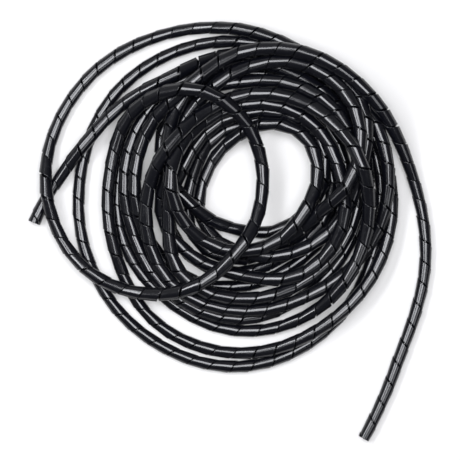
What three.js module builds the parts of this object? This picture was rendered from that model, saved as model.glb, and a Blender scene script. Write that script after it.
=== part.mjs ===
// Spiral cable wrap: a hollow plastic tube, lying loosely coiled on a level floor.
// Millimetres, +Z up. The route is read clockwise, as on a clock face laid on the floor:
// an hour is 30 degrees, hour 0 is towards +Y, and a radius is taken from the coil's eye.

import * as THREE from 'three';

// Section of the tube.
const OUTER_DIAMETER = 6;
const WALL = 1;
const OUTER_SIDES = 8;
const BORE_SIDES = 6;

// Spacing of the rings of the solid, and of the finer points the heights are worked out on.
const RING_STEP = 12;
const POINT_STEP = 3;

// Closest that two passes of the centreline come: the tube, a gap, and the flat of a step.
const GAP = 0.3;
const STEP_ALLOWANCE = 0.45;
const PASS_DISTANCE = OUTER_DIAMETER + GAP + STEP_ALLOWANCE;

// Settling: rounds, droop per round, and half the length over which the tube stays even.
const SETTLE_ROUNDS = 160;
const DROOP = 0.4;
const EVEN_LENGTH = 12;

// Start of the tube: hour, radius, layer. A higher layer lies over a lower one.
const FIRST_RUN = [
  [8.56, 106, 1],
  [8.78, 97.6, 1],
  [8.96, 90.4, 1],
  [9.18, 83.9, 2],
  [9.42, 77.9, 3],
  [9.7, 73, 3],
  [9.93, 69.6, 3],
  [10.19, 65.6, 4],
  [10.49, 62, 4],
  [10.8, 58.8, 4],
  [11.3, 59, 5],
];

// Whole turns: the radius at hours 0 to 11, and the layer at the same hours.
const TURNS = [
  { radius: [60.5, 61.2, 65.5, 69.3, 76.8, 88.3, 96, 93.8, 87.5, 80, 75, 69.7], layer: '221111100011' },
  { radius: [66, 65.3, 70, 73.2, 73.2, 69.2, 68, 65, 54, 43.3, 36.6, 35.5], layer: '235654367776' },
  { radius: [38.8, 44.3, 51.5, 61, 70, 77.2, 78.3, 72.7, 67.6, 60.8, 58.3, 53], layer: '667997323321' },
  { radius: [50.5, 54.5, 63.5, 73.8, 81.3, 86, 89.3, 85.3, 73, 65.3, 61.8, 48], layer: '112332114689' },
  { radius: [28.4, 16.2, 12, 11, 12.6, 19.1, 36, 68.5, 91.3, 97.3, 90.8, 80], layer: '999999998521' },
  { radius: [71.8, 67, 69, 59.3, 53.2, 46, 39, 33, 24.2, 17.3, 15.6, 16.3], layer: '346545231222' },
  { radius: [20.2, 29.2, 37, 38.3, 36.5, 37.8, 38.6, 38, 36.3, 34.8, 32.3, 31.5], layer: '235677666544' },
  { radius: [34.3, 39, 44.5, 49.3, 57, 58, 50.2, 47.5, 45, 37.5, 37, 41.6], layer: '445466523335' },
  { radius: [51.8, 62.5, 64.8, 55.5, 42, 40.3, 42.5, 40.8, 31, 23.3, 22.3, 23], layer: '777743233432' },
  { radius: [25, 32, 40.5, 45.5, 47, 46, 49, 48.5, 42, 30, 26.8, 27.8], layer: '112343411232' },
  { radius: [29.8, 35.6, 42, 42, 37.5, 33, 28, 27.2, 29.3, 37, 45, 46], layer: '333435454313' },
  { radius: [45.6, 51.3, 56.8, 58.8, 61.3, 62, 62, 58.3, 41.5, 34.8, 41.3, 49.2], layer: '555344455454' },
  { radius: [55.5, 56.2, 59.3, 63.5, 64.3, 68, 72.2, 68.7, 61.3, 57.7, 56, 55], layer: '234222434532' },
  { radius: [44.5, 46.5, 49, 53, 52, 52.5, 56, 58.2, 55.6, 52.5, 50.8, 50.5], layer: '111122233455' },
];

// End of the tube, in the hours of one more turn.
const LAST_RUN = [
  [0, 60.2, 8],
  [1, 68, 8],
  [2, 75, 4],
  [3, 85.3, 1],
  [4, 105.3, 0],
  [4.57, 118.6, 0],
  [4.91, 132.2, 0],
  [5.17, 145.4, 0],
];

const HOURS = TURNS[0].radius.length;
const HOUR_ANGLE = (2 * Math.PI) / HOURS;

function routePoints() {
  const points = FIRST_RUN.map(([hour, radius, layer]) => ({ hour: hour - HOURS, radius, layer }));
  TURNS.forEach((turn, index) => {
    turn.radius.forEach((radius, hour) => {
      points.push({ hour: index * HOURS + hour, radius, layer: Number(turn.layer[hour]) });
    });
  });
  for (const [hour, radius, layer] of LAST_RUN) {
    points.push({ hour: TURNS.length * HOURS + hour, radius, layer });
  }
  return points;
}

// Slope at each point of a value that runs smoothly through all of them.
function slopes(points, name) {
  return points.map((point, i) => {
    const before = points[Math.max(i - 1, 0)];
    const after = points[Math.min(i + 1, points.length - 1)];
    return (after[name] - before[name]) / (after.hour - before.hour);
  });
}

// Plan of the centreline, in even steps along it, with the layer at each step.
function planOf(points) {
  const slope = slopes(points, 'radius');
  const fine = [];
  for (let i = 0; i + 1 < points.length; i += 1) {
    const from = points[i];
    const to = points[i + 1];
    const span = to.hour - from.hour;
    const parts = Math.ceil(span * 20);
    for (let k = 0; k < parts; k += 1) {
      const t = k / parts;
      const rise = (to.radius - from.radius) * t * t * (3 - 2 * t);
      const lead = slope[i] * span * t * (1 - t) * (1 - t);
      const tail = slope[i + 1] * span * t * t * (t - 1);
      const radius = from.radius + rise + lead + tail;
      const angle = (from.hour + span * t) * HOUR_ANGLE;
      const layer = from.layer + (to.layer - from.layer) * t;
      fine.push({ x: radius * Math.sin(angle), y: radius * Math.cos(angle), layer });
    }
  }
  const last = points[points.length - 1];
  const angle = last.hour * HOUR_ANGLE;
  fine.push({ x: last.radius * Math.sin(angle), y: last.radius * Math.cos(angle), layer: last.layer });

  const along = [0];
  for (let i = 1; i < fine.length; i += 1) {
    along.push(along[i - 1] + Math.hypot(fine[i].x - fine[i - 1].x, fine[i].y - fine[i - 1].y));
  }
  const length = along[along.length - 1];
  const count = Math.round(length / POINT_STEP);
  const plan = [];
  let k = 0;
  for (let i = 0; i <= count; i += 1) {
    const wanted = (length * i) / count;
    while (k + 2 < fine.length && along[k + 1] < wanted) k += 1;
    const t = (wanted - along[k]) / (along[k + 1] - along[k]);
    plan.push({
      x: fine[k].x + (fine[k + 1].x - fine[k].x) * t,
      y: fine[k].y + (fine[k + 1].y - fine[k].y) * t,
      layer: fine[k].layer + (fine[k + 1].layer - fine[k].layer) * t,
    });
  }
  return plan;
}

// Places where two passes overlap in plan, each with the height that one needs over the other.
// Points closer along the tube than half its tightest turn are neighbours, not a crossing.
function crossings(plan) {
  const apart = Math.ceil((Math.PI * PASS_DISTANCE) / POINT_STEP);
  const found = [];
  const byPair = new Map();
  for (let i = 0; i < plan.length; i += 1) {
    for (let j = i + apart; j < plan.length; j += 1) {
      const distance = Math.hypot(plan[i].x - plan[j].x, plan[i].y - plan[j].y);
      if (distance < PASS_DISTANCE) {
        byPair.set(i * plan.length + j, found.length);
        found.push({ i, j, need: Math.sqrt(PASS_DISTANCE ** 2 - distance ** 2), run: -1 });
      }
    }
  }
  // Overlaps that join up are one run, and one pass is the upper one all along it.
  const runs = [];
  found.forEach((start) => {
    if (start.run >= 0) return;
    start.run = runs.length;
    const open = [start];
    let balance = 0;
    while (open.length > 0) {
      const { i, j, need, run } = open.pop();
      balance += (plan[i].layer - plan[j].layer) * need;
      for (let di = -1; di <= 1; di += 1) {
        for (let dj = -1; dj <= 1; dj += 1) {
          const next = found[byPair.get((i + di) * plan.length + j + dj)];
          if (next && next.run < 0) {
            next.run = run;
            open.push(next);
          }
        }
      }
    }
    runs.push(balance);
  });
  return found.map(({ i, j, need, run }) => (
    runs[run] > 0 ? { upper: i, lower: j, need } : { upper: j, lower: i, need }
  ));
}

// Heights of the centreline once every pass rests on the floor or on the passes under it.
function settle(plan, floor) {
  const pairs = crossings(plan);
  const reach = EVEN_LENGTH / POINT_STEP;
  const window = [];
  for (let k = -Math.ceil(reach); k <= Math.ceil(reach); k += 1) {
    window.push({ k, weight: Math.min(1, reach + 1 - Math.abs(k)) });
  }
  const whole = window.reduce((sum, { weight }) => sum + weight, 0);
  const last = plan.length - 1;
  let height = plan.map(() => floor);
  for (let round = 0; round < SETTLE_ROUNDS; round += 1) {
    const even = height.map((_, i) => {
      const near = ({ k, weight }) => weight * height[Math.min(Math.max(i + k, 0), last)];
      return window.reduce((sum, part) => sum + near(part), 0) / whole - DROOP;
    });
    height = even.map((value) => Math.max(value, floor));
    for (const { upper, lower, need } of pairs) {
      height[upper] = Math.max(height[upper], height[lower] + need);
    }
  }
  return height;
}

// Centreline points as vectors, then the rings of the solid at wider, even steps.
function centreline(floor) {
  const plan = planOf(routePoints());
  const height = settle(plan, floor);
  return plan.map(({ x, y }, i) => new THREE.Vector3(x, y, height[i]));
}

class WrapPath extends THREE.Curve {
  constructor(points) {
    super();
    this.line = points;
  }

  getPoint(t, target = new THREE.Vector3()) {
    const at = t * (this.line.length - 1);
    const index = Math.min(Math.floor(at), this.line.length - 2);
    return target.lerpVectors(this.line[index], this.line[index + 1], at - index);
  }

  // Sections stay upright, so that a flat of the tube faces the floor all along.
  computeFrenetFrames(steps) {
    const up = new THREE.Vector3(0, 0, 1);
    const rings = this.getSpacedPoints(steps);
    const frames = { tangents: [], normals: [], binormals: [] };
    rings.forEach((_, i) => {
      const before = rings[Math.max(i - 1, 0)];
      const after = rings[Math.min(i + 1, steps)];
      const tangent = after.clone().sub(before).normalize();
      const normal = tangent.clone().cross(up).normalize();
      frames.tangents.push(tangent);
      frames.normals.push(normal);
      frames.binormals.push(tangent.clone().cross(normal));
    });
    return frames;
  }
}

function polygon(radius, sides) {
  const corners = [];
  for (let i = 0; i < sides; i += 1) {
    const angle = ((i + 0.5) * 2 * Math.PI) / sides - Math.PI / 2;
    corners.push(new THREE.Vector2(radius * Math.cos(angle), radius * Math.sin(angle)));
  }
  return corners;
}

function spiralWrap() {
  const outerRadius = OUTER_DIAMETER / 2;
  const floor = outerRadius * Math.cos(Math.PI / OUTER_SIDES);
  const path = new WrapPath(centreline(floor));
  const section = new THREE.Shape(polygon(outerRadius, OUTER_SIDES));
  section.holes.push(new THREE.Path(polygon(outerRadius - WALL, BORE_SIDES)));
  path.arcLengthDivisions = path.line.length - 1;
  const steps = Math.round(path.getLength() / RING_STEP);
  const geometry = new THREE.ExtrudeGeometry(section, { steps, extrudePath: path, bevelEnabled: false });
  geometry.computeBoundingBox();
  const { min, max } = geometry.boundingBox;
  geometry.translate(-(min.x + max.x) / 2, -(min.y + max.y) / 2, -min.z);
  const plastic = new THREE.MeshStandardMaterial({ color: 0x1c1c1f, roughness: 0.3, metalness: 0 });
  const mesh = new THREE.Mesh(geometry, plastic);
  mesh.name = 'spiral_wrap';
  return mesh;
}

const wrap = new THREE.Group();
wrap.name = 'spiral_cable_wrap';
wrap.add(spiralWrap());

export default wrap;
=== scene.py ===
"""A loose coil of black spiral cable wrap on a pale floor, seen from straight above.

The route is read clockwise, as on a clock face laid on the floor: an hour is 30 degrees,
hour 0 is towards +Y, and a radius is taken from the coil's eye. Route numbers are millimetres
times MM, so everything that is built is in metres.
"""
import math

import bpy
import numpy as np
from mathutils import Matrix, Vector


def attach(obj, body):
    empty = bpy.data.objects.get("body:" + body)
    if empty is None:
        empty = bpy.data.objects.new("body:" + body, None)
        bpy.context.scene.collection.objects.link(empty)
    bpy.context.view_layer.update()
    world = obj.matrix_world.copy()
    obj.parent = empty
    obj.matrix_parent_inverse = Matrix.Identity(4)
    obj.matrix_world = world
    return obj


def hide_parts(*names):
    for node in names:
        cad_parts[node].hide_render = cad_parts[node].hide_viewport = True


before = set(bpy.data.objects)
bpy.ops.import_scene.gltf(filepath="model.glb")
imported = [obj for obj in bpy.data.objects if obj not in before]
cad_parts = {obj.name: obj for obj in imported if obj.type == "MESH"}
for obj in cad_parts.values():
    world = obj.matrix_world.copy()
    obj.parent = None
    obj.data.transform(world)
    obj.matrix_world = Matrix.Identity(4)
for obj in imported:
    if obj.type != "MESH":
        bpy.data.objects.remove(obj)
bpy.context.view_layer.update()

MM = 0.001

# Section of the tube, as in the part.
OUTER_RADIUS = 3 * MM
WALL = 1 * MM

# Spacing and settling of the route, as in the part.
POINT_STEP = 3 * MM
PASS_DISTANCE = 6.75 * MM
SETTLE_ROUNDS = 160
DROOP = 0.4 * MM
EVEN_LENGTH = 12 * MM

# The coil's eye in plan. The origin of the part's frame is under the middle of its box.
EYE = (5.356 * MM, 28.701 * MM)

# Start of the tube: hour, radius, layer. A higher layer lies over a lower one.
FIRST_RUN = [
    [8.56, 106, 1],
    [8.78, 97.6, 1],
    [8.96, 90.4, 1],
    [9.18, 83.9, 2],
    [9.42, 77.9, 3],
    [9.7, 73, 3],
    [9.93, 69.6, 3],
    [10.19, 65.6, 4],
    [10.49, 62, 4],
    [10.8, 58.8, 4],
    [11.3, 59, 5],
]

# Whole turns: the radius at hours 0 to 11, and the layer at the same hours.
TURNS = [
    ([60.5, 61.2, 65.5, 69.3, 76.8, 88.3, 96, 93.8, 87.5, 80, 75, 69.7], "221111100011"),
    ([66, 65.3, 70, 73.2, 73.2, 69.2, 68, 65, 54, 43.3, 36.6, 35.5], "235654367776"),
    ([38.8, 44.3, 51.5, 61, 70, 77.2, 78.3, 72.7, 67.6, 60.8, 58.3, 53], "667997323321"),
    ([50.5, 54.5, 63.5, 73.8, 81.3, 86, 89.3, 85.3, 73, 65.3, 61.8, 48], "112332114689"),
    ([28.4, 16.2, 12, 11, 12.6, 19.1, 36, 68.5, 91.3, 97.3, 90.8, 80], "999999998521"),
    ([71.8, 67, 69, 59.3, 53.2, 46, 39, 33, 24.2, 17.3, 15.6, 16.3], "346545231222"),
    ([20.2, 29.2, 37, 38.3, 36.5, 37.8, 38.6, 38, 36.3, 34.8, 32.3, 31.5], "235677666544"),
    ([34.3, 39, 44.5, 49.3, 57, 58, 50.2, 47.5, 45, 37.5, 37, 41.6], "445466523335"),
    ([51.8, 62.5, 64.8, 55.5, 42, 40.3, 42.5, 40.8, 31, 23.3, 22.3, 23], "777743233432"),
    ([25, 32, 40.5, 45.5, 47, 46, 49, 48.5, 42, 30, 26.8, 27.8], "112343411232"),
    ([29.8, 35.6, 42, 42, 37.5, 33, 28, 27.2, 29.3, 37, 45, 46], "333435454313"),
    ([45.6, 51.3, 56.8, 58.8, 61.3, 62, 62, 58.3, 41.5, 34.8, 41.3, 49.2], "555344455454"),
    ([55.5, 56.2, 59.3, 63.5, 64.3, 68, 72.2, 68.7, 61.3, 57.7, 56, 55], "234222434532"),
    ([44.5, 46.5, 49, 53, 52, 52.5, 56, 58.2, 55.6, 52.5, 50.8, 50.5], "111122233455"),
]

# End of the tube, in the hours of one more turn.
LAST_RUN = [
    [0, 60.2, 8],
    [1, 68, 8],
    [2, 75, 4],
    [3, 85.3, 1],
    [4, 105.3, 0],
    [4.57, 118.6, 0],
    [4.91, 132.2, 0],
    [5.17, 145.4, 0],
]

HOURS = 12
HOUR_ANGLE = 2 * math.pi / HOURS
PARTS_PER_HOUR = 20

# The spiral cut: its pitch along the tube, and the slit that it leaves.
PITCH = 10.5 * MM
SLIT = 0.82 * MM
LEAST_SLIT = 0.46 * MM
MOST_SLIT = 1.3 * MM
# How far a bend opens the slit: 1 is as far as the tube's outside stretches there.
BEND_OPENING = 1.3

# How unevenly the cut lies: the most that each noise moves or lifts it.
PITCH_WOBBLE = 0.4 * MM
SLIT_WOBBLE = 0.16 * MM
EDGE_LIFT = 0.13 * MM
# Each noise: the turns of the ribbon over which it changes, and its seed.
PITCH_NOISE = (0.8, 3)
SLIT_NOISE = (0.35, 5)
LOW_EDGE_NOISE = (0.6, 7)
HIGH_EDGE_NOISE = (0.6, 11)

# The ribbon's edges: half the step from turn to turn, and how round and wide they are.
EDGE_STEP = 0.1 * MM
EDGE_ROUNDING = 0.08 * MM
EDGE_BAND = 0.24 * MM
# The narrowest ribbon that is built at the ends, and the least height over the floor.
LEAST_WIDTH = 0.4 * MM
FLOOR_CLEARANCE = 0.02 * MM

# The higher the tube lies, the looser it is wound: up to this share, at this height.
LOOSENESS = 0.12
LOOSE_HEIGHT = 12 * MM

# Fineness of the ribbon's mesh, and the least angle that stays a sharp edge.
STEPS_PER_TURN = 22
SHARP_ANGLE = math.radians(60)

# Wear at the ribbon's eight corners: across its outside, down one wall of the slit, across
# its bore side, and up the other wall.
WORN = (0.15, 0, 0, 0.15, 1, 0.5, 0.5, 1)

# Fine steps along the centreline that the ribbon is laid on, and the lengths over which
# its line and its bends are evened out.
FINE_STEP = 0.5 * MM
SMOOTH_LENGTH = 6 * MM
BEND_LENGTH = 10 * MM

# The camera looks straight down from far away, so a raised strand keeps its place.
CAMERA_HEIGHT = 1.6
VIEW_WIDTH = 230 * MM
VIEW_CENTRE = (-0.05 * MM, 0.9 * MM)
SENSOR_WIDTH = 36.0
FAR_CLIP = 20

# Black plastic: its colour where it is clean and where it is rubbed, how much of the
# rubbed colour scuffs and worn edges show, and its refraction.
CLEAN_BLACK = (0.0024, 0.0026, 0.0042)
RUBBED_BLACK = (0.0065, 0.007, 0.0092)
PALE_SCUFF = 0.35
PALE_EDGE = 0.1
REFRACTION = 1.5

# Its roughness, and what drawn lines, scuffs and worn edges add to that.
ROUGHNESS = (0.13, 0.22)
DRAWN_ROUGHNESS = (-0.02, 0.03)
SCUFF_ROUGHNESS = 0.12
EDGE_ROUGHNESS = 0.14

# Its noises: scale, detail and, for the scuffs, how rough the noise is. The drawn lines are
# a noise that is stretched along the tube.
DRAWN = (1.0, 2.0)
DRAWN_STRETCH = (0.35, 60, 1)
CLOUD = (90.0, 3.0)
GRAIN = (2600.0, 2.0)
SCUFF = (420.0, 6.0, 0.7)

# The values of a noise that count as its lowest and its highest.
CLOUD_RANGE = (0.3, 0.7)
DRAWN_RANGE = (0.35, 0.65)
SCUFF_RANGE = (0.56, 0.72)

# Its relief: the shares of lines and grain, and how high it stands.
DRAWN_SHARE = 0.7
GRAIN_SHARE = 0.3
RELIEF_STRENGTH = 0.008
RELIEF_HEIGHT = 0.03 * MM

# The floor: a pale paper that is nearly even, and glows a little so that it looks white.
FLOOR_HALF = 3.0
PAPER_DARK = (0.49, 0.485, 0.475)
PAPER_PALE = (0.51, 0.505, 0.495)
PAPER_CLOUD = (3.0, 2.0)
PAPER_ROUGHNESS = 0.75
PAPER_GLOW = 0.17

# Softboxes: name, place, width across the line to the coil, depth along it, radiance.
SOFTBOXES = [
    ("overhead_box", (0.07, 0.09, 1.15), 0.68, 0.54, 13),
    ("left_box", (-0.58, 0.22, 1.02), 0.85, 0.24, 18),
    ("right_box", (0.72, -0.52, 0.95), 0.7, 0.3, 4.5),
]
SOFTBOX_COLOUR = (0.945, 0.955, 1)

# The room: towards where it is brighter, where that starts and ends, and its light there.
BRIGHT_SIDE = (-0.55, 0.75, -0.25)
ROOM_RANGE = (-0.2, 0.9)
ROOM_LIGHT = (0.10, 0.45)

# Colour sockets of a Mix node.
MIX_A, MIX_B, MIX_RESULT = 6, 7, 2


def camera():
    data = bpy.data.cameras.new("camera")
    data.sensor_width = SENSOR_WIDTH
    data.lens = SENSOR_WIDTH * CAMERA_HEIGHT / VIEW_WIDTH
    data.clip_end = FAR_CLIP
    item = bpy.data.objects.new("camera", data)
    item.location = (VIEW_CENTRE[0], VIEW_CENTRE[1], CAMERA_HEIGHT)
    bpy.context.scene.collection.objects.link(item)
    bpy.context.scene.camera = item


def route_points():
    points = [(hour - HOURS, radius * MM, layer) for hour, radius, layer in FIRST_RUN]
    for index, (radii, layers) in enumerate(TURNS):
        for hour in range(HOURS):
            points.append((index * HOURS + hour, radii[hour] * MM, int(layers[hour])))
    start = len(TURNS) * HOURS
    points += [(start + hour, radius * MM, layer) for hour, radius, layer in LAST_RUN]
    return np.array(points, float)


def plan_of(points):
    """Plan of the centreline in even steps along it, with the layer at each step."""
    hour, radius, layer = points.T
    before = np.maximum(np.arange(len(points)) - 1, 0)
    after = np.minimum(np.arange(len(points)) + 1, len(points) - 1)
    slope = (radius[after] - radius[before]) / (hour[after] - hour[before])
    fine = []
    for i in range(len(points) - 1):
        span = hour[i + 1] - hour[i]
        parts = math.ceil(span * PARTS_PER_HOUR)
        for k in range(parts):
            t = k / parts
            rise = (radius[i + 1] - radius[i]) * t * t * (3 - 2 * t)
            lead = slope[i] * span * t * (1 - t) * (1 - t)
            tail = slope[i + 1] * span * t * t * (t - 1)
            angle = (hour[i] + span * t) * HOUR_ANGLE
            reach = radius[i] + rise + lead + tail
            level = layer[i] + (layer[i + 1] - layer[i]) * t
            fine.append((reach * math.sin(angle), reach * math.cos(angle), level))
    angle = hour[-1] * HOUR_ANGLE
    fine.append((radius[-1] * math.sin(angle), radius[-1] * math.cos(angle), layer[-1]))
    fine = np.array(fine)
    along = np.concatenate([[0], np.cumsum(np.hypot(*np.diff(fine[:, :2], axis=0).T))])
    wanted = np.linspace(0, along[-1], round(along[-1] / POINT_STEP) + 1)
    return np.column_stack([np.interp(wanted, along, fine[:, axis]) for axis in range(3)])


def crossings(plan):
    """Places where two passes overlap in plan: upper point, lower point, and the height needed."""
    # Points closer along the tube than half its tightest turn are neighbours.
    apart = math.ceil(math.pi * PASS_DISTANCE / POINT_STEP)
    distance = np.hypot(
        plan[:, None, 0] - plan[None, :, 0], plan[:, None, 1] - plan[None, :, 1]
    )
    close = np.triu(distance < PASS_DISTANCE, apart)
    found = [tuple(pair) for pair in np.argwhere(close).tolist()]
    need = {pair: math.sqrt(PASS_DISTANCE**2 - distance[pair] ** 2) for pair in found}
    # Overlaps that join up are one run, and one pass is the upper one all along it.
    run_of = {}
    balances = []
    for start in found:
        if start in run_of:
            continue
        run_of[start] = len(balances)
        waiting = [start]
        balance = 0.0
        while waiting:
            i, j = waiting.pop()
            balance += (plan[i, 2] - plan[j, 2]) * need[i, j]
            for di in (-1, 0, 1):
                for dj in (-1, 0, 1):
                    near = (i + di, j + dj)
                    if near in need and near not in run_of:
                        run_of[near] = len(balances)
                        waiting.append(near)
        balances.append(balance)
    pairs = []
    for i, j in found:
        upper, lower = (i, j) if balances[run_of[i, j]] > 0 else (j, i)
        pairs.append((upper, lower, need[i, j]))
    return pairs


def even_window(length, step):
    """Weights of a running mean that reaches the given length to each side."""
    reach = length / step
    whole = math.ceil(reach)
    weight = np.minimum(1, reach + 1 - np.abs(np.arange(-whole, whole + 1)))
    return weight / weight.sum()


def running_mean(values, window):
    padded = np.pad(values, len(window) // 2, mode="edge")
    return np.convolve(padded, window, "valid")


def settle(plan, floor):
    """Heights after rounds that lower every pass a little and lift it over those under it.

    A few lifts are still short after the last round, so some strands cut into each other.
    """
    pairs = crossings(plan)
    window = even_window(EVEN_LENGTH, POINT_STEP)
    height = np.full(len(plan), floor)
    for _ in range(SETTLE_ROUNDS):
        level = np.maximum(running_mean(height, window) - DROOP, floor).tolist()
        for upper, lower, need in pairs:
            if level[lower] + need > level[upper]:
                level[upper] = level[lower] + need
        height = np.array(level)
    return height


def centreline():
    """The route in the part's frame."""
    plan = plan_of(route_points())
    return np.column_stack([plan[:, :2] + EYE, settle(plan, OUTER_RADIUS)])


class Strand:
    """A fine, smooth version of the centreline, with an upright frame at every point."""

    def __init__(self, line):
        along = np.concatenate([[0], np.cumsum(np.linalg.norm(np.diff(line, axis=0), axis=1))])
        self.length = float(along[-1])
        self.at = np.linspace(0, self.length, round(self.length / FINE_STEP) + 1)
        window = even_window(SMOOTH_LENGTH / 2, FINE_STEP)
        columns = [np.interp(self.at, along, line[:, axis]) for axis in range(3)]
        # The heights have sharper corners than the plan, so they are evened twice.
        columns[2] = running_mean(columns[2], even_window(SMOOTH_LENGTH, FINE_STEP))
        self.centre = np.column_stack([self.eased(column, window) for column in columns])
        tangent = np.gradient(self.centre, self.at, axis=0)
        self.tangent = tangent / np.linalg.norm(tangent, axis=1)[:, None]
        side = np.cross(self.tangent, (0, 0, 1))
        self.side = side / np.linalg.norm(side, axis=1)[:, None]
        self.over = np.cross(self.side, self.tangent)
        turn = np.gradient(self.tangent, self.at, axis=0)
        bend = even_window(BEND_LENGTH, FINE_STEP)
        self.turn = np.column_stack([running_mean(turn[:, axis], bend) for axis in range(3)])

    @staticmethod
    def eased(column, window):
        """Running mean that leaves both ends where they are."""
        mirrored = np.concatenate([
            2 * column[0] - column[len(window):0:-1],
            column,
            2 * column[-1] - column[-2:-2 - len(window):-1],
        ])
        return running_mean(mirrored, window)[len(window):-len(window)]

    def girth(self, where):
        """Radius of the tube, which is wound a little looser where it lies high on the others."""
        height = np.interp(where, self.at, self.centre[:, 2]) - OUTER_RADIUS
        loose = LOOSENESS * np.clip(height / LOOSE_HEIGHT, 0, 1)
        return OUTER_RADIUS * (1 + loose)[:, None]

    def look(self, values, where):
        """The values that hold at the fine steps, looked up at other places."""
        return np.column_stack([np.interp(where, self.at, values[:, axis]) for axis in range(3)])

    def outward(self, where, angle):
        """Direction out of the tube: 0 is its right side along the route, a quarter turn is up."""
        side = self.look(self.side, where) * np.cos(angle)[:, None]
        return side + self.look(self.over, where) * np.sin(angle)[:, None]


def wander(count, turns, seed):
    """Smooth noise between -1 and 1 at each step of the ribbon, new after so many turns."""
    spacing = STEPS_PER_TURN * turns
    knots = np.random.default_rng(seed).uniform(-1, 1, math.ceil(count / spacing) + 3)
    place = np.arange(count) / spacing
    index = place.astype(int)
    share = place - index
    share = share * share * (3 - 2 * share)
    return knots[index] * (1 - share) + knots[index + 1] * share


def ribbon(strand):
    """The tube as the ribbon that its spiral cut makes: left-handed, straight across its width."""
    # The steps reach a turn past both ends of the tube, and what lies outside it is clipped.
    turns = strand.length / PITCH + 2
    count = math.ceil(turns * STEPS_PER_TURN)
    angle = (np.arange(count) / STEPS_PER_TURN - 1) * 2 * math.pi
    # The cut, one turn longer than the ribbon, so that both edges follow the same line.
    longer = count + STEPS_PER_TURN
    cut = (np.arange(longer) / STEPS_PER_TURN - 1) * PITCH
    cut += PITCH_WOBBLE * wander(longer, *PITCH_NOISE)
    slit = SLIT + SLIT_WOBBLE * wander(longer, *SLIT_NOISE)
    around = (np.arange(longer) / STEPS_PER_TURN - 1) * 2 * math.pi
    # A bend opens the cut on its outside, and closes it on its inside.
    outward = strand.outward(cut, around)
    stretch = -OUTER_RADIUS * (outward * strand.look(strand.turn, cut)).sum(axis=1)
    slit += BEND_OPENING * PITCH * stretch
    slit = np.clip(slit, LEAST_SLIT, MOST_SLIT)
    low = np.clip(cut[:count] + slit[:count] / 2, 0, strand.length)
    high = np.clip(cut[STEPS_PER_TURN:] - slit[STEPS_PER_TURN:] / 2, 0, strand.length)
    kept = high - low > LEAST_WIDTH
    low, high, angle = low[kept], high[kept], angle[kept]
    count = len(low)

    low_out, high_out = strand.outward(low, angle), strand.outward(high, angle)
    low_centre, high_centre = strand.look(strand.centre, low), strand.look(strand.centre, high)
    # The edge towards the tube's start stands a little proud of the turn before it.
    low_lift = EDGE_LIFT * wander(count, *LOW_EDGE_NOISE)[:, None] + EDGE_STEP
    high_lift = EDGE_LIFT * wander(count, *HIGH_EDGE_NOISE)[:, None] - EDGE_STEP
    low_radius = strand.girth(low) + low_lift
    high_radius = strand.girth(high) + high_lift
    low_top = low_centre + low_out * low_radius
    high_top = high_centre + high_out * high_radius
    across = high_top - low_top
    across /= np.linalg.norm(across, axis=1)[:, None]
    rows = [
        low_top + across * EDGE_ROUNDING,
        low_top + across * EDGE_BAND,
        high_top - across * EDGE_BAND,
        high_top - across * EDGE_ROUNDING,
        high_centre + high_out * (high_radius - EDGE_ROUNDING),
        high_centre + high_out * (high_radius - WALL),
        low_centre + low_out * (low_radius - WALL),
        low_centre + low_out * (low_radius - EDGE_ROUNDING),
    ]
    return np.stack(rows, axis=1), angle, low, high


def ribbon_mesh(strand):
    rings, angle, low, high = ribbon(strand)
    count, sides = rings.shape[:2]
    points = rings.reshape(-1, 3)
    points[:, 2] = np.maximum(points[:, 2], FLOOR_CLEARANCE)
    corner = np.arange(count * sides).reshape(count, sides)
    following = np.roll(corner, -1, axis=1)
    quads = np.stack([corner[:-1], corner[1:], following[1:], following[:-1]], axis=-1)
    ends = [corner[0].tolist(), corner[-1][::-1].tolist()]
    faces = quads.reshape(-1, 4).tolist() + ends
    data = bpy.data.meshes.new("spiral_ribbon")
    data.from_pydata(points.tolist(), [], faces)
    data.update()

    # Along the tube and round it, for the fine lines of the surface.
    place = np.column_stack([low, low, high, high, high, high, low, low]).reshape(-1)
    round_it = np.repeat(angle / (2 * math.pi), sides)
    loops = np.empty(len(data.loops), dtype=np.int32)
    data.loops.foreach_get("vertex_index", loops)
    uv = np.column_stack([place[loops] / PITCH, round_it[loops]])
    data.uv_layers.new(name="strand").data.foreach_set("uv", uv.astype(np.float32).reshape(-1))
    edge = data.attributes.new("worn", "FLOAT", "POINT")
    edge.data.foreach_set("value", np.tile(np.array(WORN, np.float32), count))

    data.polygons.foreach_set("use_smooth", np.ones(len(data.polygons), dtype=bool))
    data.set_sharp_from_angle(angle=SHARP_ANGLE)
    data.validate()
    return data


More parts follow.
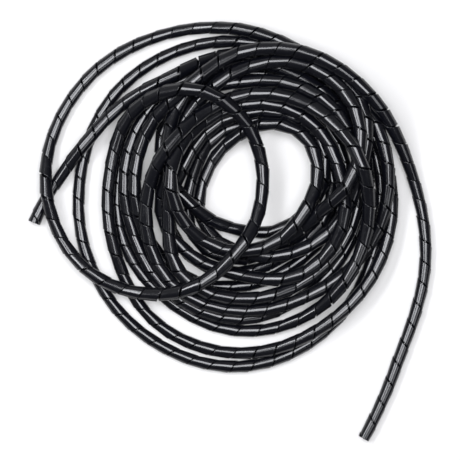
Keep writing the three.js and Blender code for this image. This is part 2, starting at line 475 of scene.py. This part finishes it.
class Nodes:
    """Short way to make a material's nodes."""

    def __init__(self, name):
        self.material = bpy.data.materials.new(name)
        self.material.use_nodes = True
        self.tree = self.material.node_tree
        self.shader = self.tree.nodes["Principled BSDF"]

    def add(self, kind, inputs=None, **values):
        node = self.tree.nodes.new(kind)
        for name, value in values.items():
            setattr(node, name, value)
        for name, value in (inputs or {}).items():
            self.put(node, name, value)
        return node

    def put(self, node, name, value):
        socket = node.inputs[name]
        if isinstance(value, bpy.types.NodeSocket):
            self.tree.links.new(value, socket)
        else:
            socket.default_value = value

    def noise(self, vector, scale, detail, roughness=0.5):
        values = {"Vector": vector, "Scale": scale, "Detail": detail, "Roughness": roughness}
        return self.add("ShaderNodeTexNoise", values).outputs["Fac"]

    def spread(self, value, source, target):
        values = {
            "Value": value,
            "From Min": source[0],
            "From Max": source[1],
            "To Min": target[0],
            "To Max": target[1],
        }
        return self.add("ShaderNodeMapRange", values).outputs["Result"]

    def math(self, operation, first, second):
        node = self.add("ShaderNodeMath", operation=operation)
        self.put(node, 0, first)
        self.put(node, 1, second)
        return node.outputs[0]

    def colour(self, share, first, second):
        node = self.add("ShaderNodeMix", data_type="RGBA")
        self.put(node, "Factor", share)
        self.put(node, MIX_A, (*first, 1))
        self.put(node, MIX_B, (*second, 1))
        return node.outputs[MIX_RESULT]


def black_plastic():
    """Smooth black polyethylene: soft gloss, fine drawn lines, dull rubbed edges."""
    nodes = Nodes("black_plastic")
    place = nodes.add("ShaderNodeTexCoord").outputs["Object"]
    strand = nodes.add("ShaderNodeUVMap", uv_map="strand").outputs["UV"]
    worn = nodes.add("ShaderNodeAttribute", attribute_name="worn").outputs["Fac"]

    stretched = {"Vector": strand, "Scale": DRAWN_STRETCH}
    lines = nodes.add("ShaderNodeMapping", stretched).outputs["Vector"]
    drawn = nodes.noise(lines, *DRAWN)
    cloud = nodes.noise(place, *CLOUD)
    grain = nodes.noise(place, *GRAIN)
    scuff = nodes.spread(nodes.noise(place, *SCUFF), SCUFF_RANGE, (0.0, 1.0))

    dull = nodes.spread(cloud, CLOUD_RANGE, ROUGHNESS)
    dull = nodes.math("ADD", dull, nodes.spread(drawn, DRAWN_RANGE, DRAWN_ROUGHNESS))
    dull = nodes.math("ADD", dull, nodes.math("MULTIPLY", scuff, SCUFF_ROUGHNESS))
    dull = nodes.math("ADD", dull, nodes.math("MULTIPLY", worn, EDGE_ROUGHNESS))

    pale = nodes.math("MULTIPLY", scuff, PALE_SCUFF)
    pale = nodes.math("ADD", pale, nodes.math("MULTIPLY", worn, PALE_EDGE))
    colour = nodes.colour(pale, CLEAN_BLACK, RUBBED_BLACK)

    ridges = nodes.math("MULTIPLY", drawn, DRAWN_SHARE)
    pimples = nodes.math("MULTIPLY", grain, GRAIN_SHARE)
    relief = {
        "Height": nodes.math("ADD", ridges, pimples),
        "Strength": RELIEF_STRENGTH,
        "Distance": RELIEF_HEIGHT,
    }
    nodes.put(nodes.shader, "Base Color", colour)
    nodes.put(nodes.shader, "Roughness", dull)
    nodes.put(nodes.shader, "Normal", nodes.add("ShaderNodeBump", relief).outputs["Normal"])
    nodes.put(nodes.shader, "IOR", REFRACTION)
    return nodes.material


def wrap():
    """The wrap: one cord, coiled loosely, that stands for the part's plain tube."""
    line = centreline()
    strand = Strand(line)
    item = bpy.data.objects.new("spiral_ribbon", ribbon_mesh(strand))
    item.data.materials.append(black_plastic())
    bpy.context.scene.collection.objects.link(item)
    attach(item, "root")
    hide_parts("spiral_wrap")


def white_paper():
    nodes = Nodes("white_paper")
    place = nodes.add("ShaderNodeTexCoord").outputs["Object"]
    tone = nodes.noise(place, *PAPER_CLOUD)
    nodes.put(nodes.shader, "Base Color", nodes.colour(tone, PAPER_DARK, PAPER_PALE))
    nodes.put(nodes.shader, "Roughness", PAPER_ROUGHNESS)
    nodes.put(nodes.shader, "Emission Color", (1, 1, 1, 1))
    nodes.put(nodes.shader, "Emission Strength", PAPER_GLOW)
    return nodes.material


def floor():
    """Flat white paper, wide enough for every view."""
    corners = [(-1, -1), (1, -1), (1, 1), (-1, 1)]
    data = bpy.data.meshes.new("floor")
    data.from_pydata([(x * FLOOR_HALF, y * FLOOR_HALF, 0) for x, y in corners], [], [(0, 1, 2, 3)])
    data.materials.append(white_paper())
    item = bpy.data.objects.new("floor", data)
    bpy.context.scene.collection.objects.link(item)


def softbox(name, place, wide, deep, radiance):
    """Rectangular area light that faces the coil."""
    data = bpy.data.lights.new(name, "AREA")
    data.shape = "RECTANGLE"
    data.size = wide
    data.size_y = deep
    data.energy = radiance * math.pi * wide * deep
    data.color = SOFTBOX_COLOUR
    item = bpy.data.objects.new(name, data)
    item.location = place
    item.rotation_euler = (-Vector(place)).to_track_quat("-Z", "Y").to_euler()
    bpy.context.scene.collection.objects.link(item)


def room():
    """Dim light from all round, brighter on one side."""
    world = bpy.data.worlds.new("room")
    world.use_nodes = True
    tree = world.node_tree
    back = tree.nodes["Background"]
    place = tree.nodes.new("ShaderNodeTexCoord")
    towards = tree.nodes.new("ShaderNodeVectorMath")
    towards.operation = "DOT_PRODUCT"
    towards.inputs[1].default_value = BRIGHT_SIDE
    ramp = tree.nodes.new("ShaderNodeMapRange")
    ramp.inputs["From Min"].default_value = ROOM_RANGE[0]
    ramp.inputs["From Max"].default_value = ROOM_RANGE[1]
    ramp.inputs["To Min"].default_value = ROOM_LIGHT[0]
    ramp.inputs["To Max"].default_value = ROOM_LIGHT[1]
    tree.links.new(place.outputs["Generated"], towards.inputs[0])
    tree.links.new(towards.outputs["Value"], ramp.inputs["Value"])
    tree.links.new(ramp.outputs["Result"], back.inputs["Color"])
    bpy.context.scene.world = world


def studio():
    """A softbox overhead, a long one at the left, a weak one at the right, and a dim room."""
    for box in SOFTBOXES:
        softbox(*box)
    room()
    bpy.context.scene.view_settings.view_transform = "Standard"


camera()
wrap()
floor()
studio()
